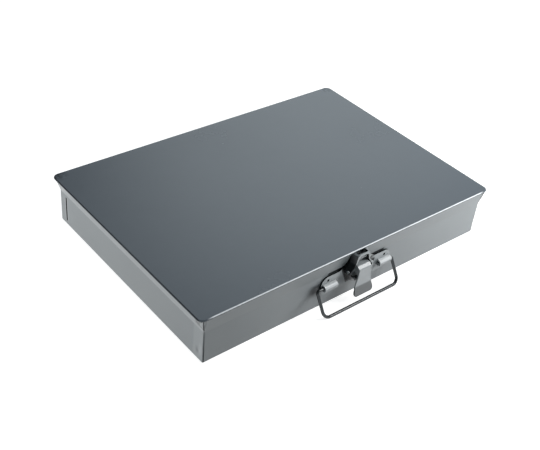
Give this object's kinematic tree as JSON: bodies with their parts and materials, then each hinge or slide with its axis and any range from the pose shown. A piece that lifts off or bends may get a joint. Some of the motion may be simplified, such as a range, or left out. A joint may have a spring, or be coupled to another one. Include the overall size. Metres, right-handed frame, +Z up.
{
  "type": "compartment storage box",
  "caption": "Low steel compartment box with a hinged flat lid, scoop-bottomed compartments, a spring catch and a folding wire bail on the front.",
  "frame": {"origin": "on the floor under the middle of the closed lid, at the tray's underside", "axes": "+X along the front to the right seen from the front, +Y from the catch side back to the hinge, +Z up"},
  "size_m": [0.34, 0.2501, 0.05],
  "materials": {
    "enamel_body": "semi-gloss blue-grey enamel on steel sheet",
    "enamel_lid": "semi-gloss blue-grey enamel, smooth flat sheet",
    "enamel_inside": "semi-gloss blue-grey enamel inside",
    "enamel_catch": "gloss grey enamel on pressed steel",
    "bail_wire": "dark glossy finish on round steel wire",
    "bare_steel": "drawn steel wire"
  },
  "bodies": {
    "box": {"box_body": "enamel_body", "trough_front": "enamel_inside", "trough_middle": "enamel_inside", "trough_rear": "enamel_inside", "partition_front_1": "enamel_inside", "partition_front_2": "enamel_inside", "partition_front_3": "enamel_inside", "partition_middle_1": "enamel_inside", "partition_middle_2": "enamel_inside", "partition_middle_3": "enamel_inside", "partition_rear_1": "enamel_inside", "partition_rear_2": "enamel_inside", "partition_rear_3": "enamel_inside", "hinge_leaf_body": "enamel_body", "hinge_pin": "bare_steel", "handle_plate": "enamel_catch", "latch_pin": "bare_steel", "latch_spring": "bare_steel"},
    "lid": {"lid": "enamel_lid", "hinge_leaf_lid": "enamel_body", "lid_keeper": "enamel_catch"},
    "bail": {"bail_handle": "bail_wire"},
    "latch": {"latch_lever": "enamel_catch"}
  },
  "joints": [
    {"name": "lid_hinge", "type": "hinge", "parent": "box", "child": "lid", "pos_m": [0, 0.11605, 0.0464], "axis": [-1, 0, 0], "range_deg": [0, 150]},
    {"name": "bail_pivot", "type": "hinge", "parent": "box", "child": "bail", "pos_m": [0, -0.1177, 0.0228], "axis": [-1, 0, 0], "range_deg": [-32, 133]},
    {"name": "latch_pivot", "type": "hinge", "parent": "box", "child": "latch", "pos_m": [0, -0.1196, 0.031], "axis": [-1, 0, 0], "range_deg": [0, 10], "stiffness_Nm_per_rad": 0.04, "springref_deg": -14.32}
  ]
}
